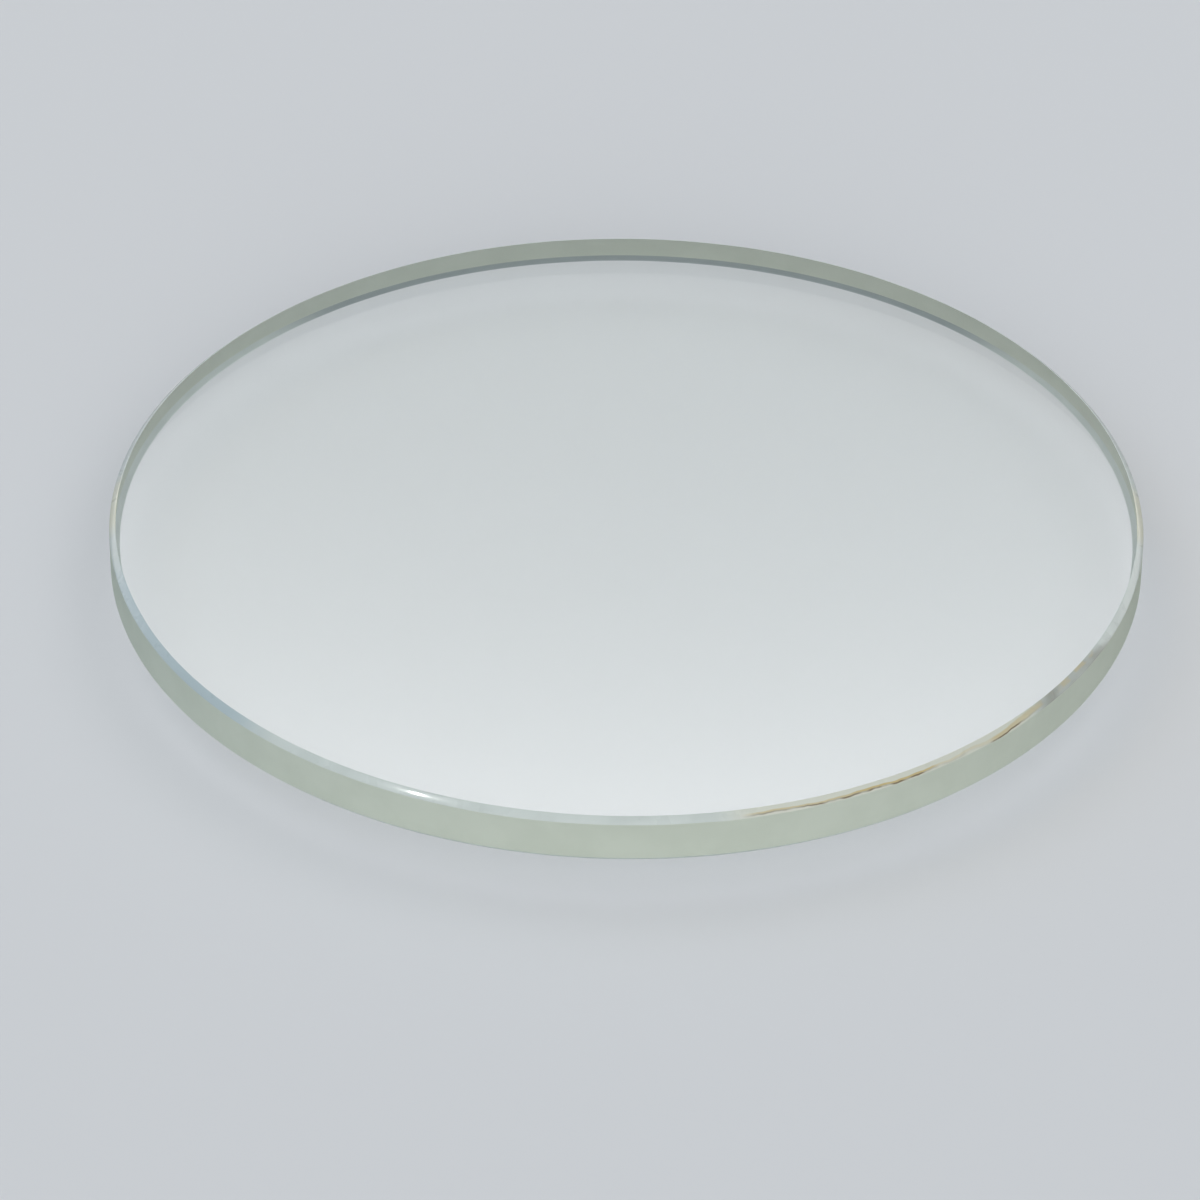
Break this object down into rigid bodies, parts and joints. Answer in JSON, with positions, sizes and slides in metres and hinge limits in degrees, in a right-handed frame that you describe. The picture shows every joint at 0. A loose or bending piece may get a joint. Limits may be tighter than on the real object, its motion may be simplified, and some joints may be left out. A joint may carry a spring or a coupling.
{
  "type": "watch crystal",
  "caption": "Round double-domed watch glass with polished faces, a finely ground edge and small rim bevels.",
  "frame": {"origin": "lowest point of the domed outer face, on the crystal's axis", "axes": "+Z along the crystal's axis, out of the hollow inner face; X and Y are alike"},
  "size_m": [0.0315, 0.0314, 0.0029],
  "materials": {
    "mineral_glass": "clear, polished faces; finely ground edge; semi-polished bevels"
  },
  "bodies": {
    "root": {"crystal": "mineral_glass"}
  },
  "joints": []
}
